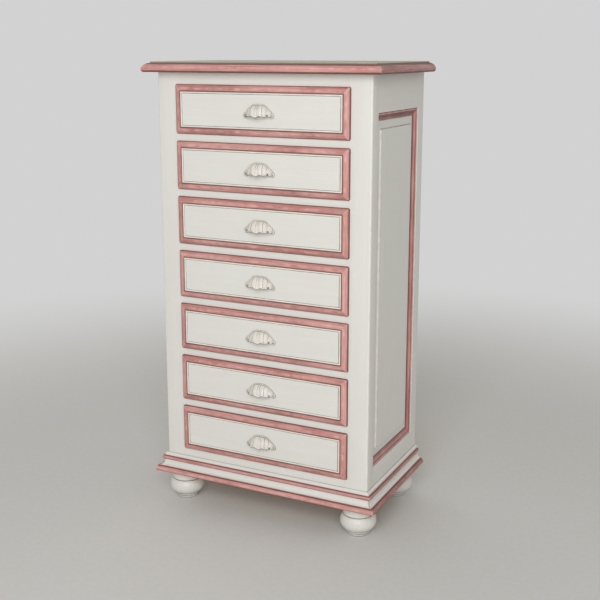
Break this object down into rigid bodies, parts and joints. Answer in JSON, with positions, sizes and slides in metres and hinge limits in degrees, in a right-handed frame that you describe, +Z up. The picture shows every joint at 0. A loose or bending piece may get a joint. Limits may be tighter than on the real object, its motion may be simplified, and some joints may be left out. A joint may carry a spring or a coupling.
{
  "type": "semainier chest of drawers",
  "caption": "Tall narrow painted chest with a stack of equal lipped drawers on cup pulls, raised side panels, moulded top and base, and bun feet; every drawer slides.",
  "frame": {"origin": "middle of the footprint's bounding box, on the floor", "axes": "+Z up, +X to the viewer's right when facing the drawers, -Y out of the drawer fronts"},
  "size_m": [0.7422, 0.4281, 1.343],
  "materials": {
    "cream_paint": "satin cream paint with brown antiquing in the corners",
    "pink_paint": "satin dusty pink paint, antiqued along its edges",
    "front_paint": "satin cream paint with a dusty pink moulded edge",
    "top_paint": "satin cream paint with a dusty pink nosing",
    "bare_wood": "planed and unfinished",
    "drawer_wood": "planed and waxed",
    "plywood": "sanded plywood",
    "back_board": "sanded plywood",
    "pull_metal": "cast, painted cream with grey patina in the flutes"
  },
  "bodies": {
    "carcass": {"back_panel": "back_board", "back_posts": "cream_paint", "back_rails": "bare_wood", "base_bead": "cream_paint", "base_board": "pink_paint", "base_cove": "cream_paint", "base_fillet": "pink_paint", "bun_feet": "cream_paint", "drawer_guides": "bare_wood", "drawer_runners": "bare_wood", "front_posts": "cream_paint", "front_rails": "cream_paint", "panel_mouldings": "pink_paint", "side_panels": "cream_paint", "side_rails": "cream_paint", "top_board": "top_paint", "top_kickers": "bare_wood"},
    "drawer_1": {"drawer_1_front": "front_paint", "drawer_1_sides": "drawer_wood", "drawer_1_back": "drawer_wood", "drawer_1_bottom": "plywood", "drawer_1_pull": "pull_metal"},
    "drawer_2": {"drawer_2_front": "front_paint", "drawer_2_sides": "drawer_wood", "drawer_2_back": "drawer_wood", "drawer_2_bottom": "plywood", "drawer_2_pull": "pull_metal"},
    "drawer_3": {"drawer_3_front": "front_paint", "drawer_3_sides": "drawer_wood", "drawer_3_back": "drawer_wood", "drawer_3_bottom": "plywood", "drawer_3_pull": "pull_metal"},
    "drawer_4": {"drawer_4_front": "front_paint", "drawer_4_sides": "drawer_wood", "drawer_4_back": "drawer_wood", "drawer_4_bottom": "plywood", "drawer_4_pull": "pull_metal"},
    "drawer_5": {"drawer_5_front": "front_paint", "drawer_5_sides": "drawer_wood", "drawer_5_back": "drawer_wood", "drawer_5_bottom": "plywood", "drawer_5_pull": "pull_metal"},
    "drawer_6": {"drawer_6_front": "front_paint", "drawer_6_sides": "drawer_wood", "drawer_6_back": "drawer_wood", "drawer_6_bottom": "plywood", "drawer_6_pull": "pull_metal"},
    "drawer_7": {"drawer_7_front": "front_paint", "drawer_7_sides": "drawer_wood", "drawer_7_back": "drawer_wood", "drawer_7_bottom": "plywood", "drawer_7_pull": "pull_metal"}
  },
  "joints": [
    {"name": "drawer_1_slide", "type": "slide", "parent": "carcass", "child": "drawer_1", "axis": [0, -1, 0], "range_m": [0, 0.26]},
    {"name": "drawer_2_slide", "type": "slide", "parent": "carcass", "child": "drawer_2", "axis": [0, -1, 0], "range_m": [0, 0.26]},
    {"name": "drawer_3_slide", "type": "slide", "parent": "carcass", "child": "drawer_3", "axis": [0, -1, 0], "range_m": [0, 0.26]},
    {"name": "drawer_4_slide", "type": "slide", "parent": "carcass", "child": "drawer_4", "axis": [0, -1, 0], "range_m": [0, 0.26]},
    {"name": "drawer_5_slide", "type": "slide", "parent": "carcass", "child": "drawer_5", "axis": [0, -1, 0], "range_m": [0, 0.26]},
    {"name": "drawer_6_slide", "type": "slide", "parent": "carcass", "child": "drawer_6", "axis": [0, -1, 0], "range_m": [0, 0.26]},
    {"name": "drawer_7_slide", "type": "slide", "parent": "carcass", "child": "drawer_7", "axis": [0, -1, 0], "range_m": [0, 0.26]}
  ]
}
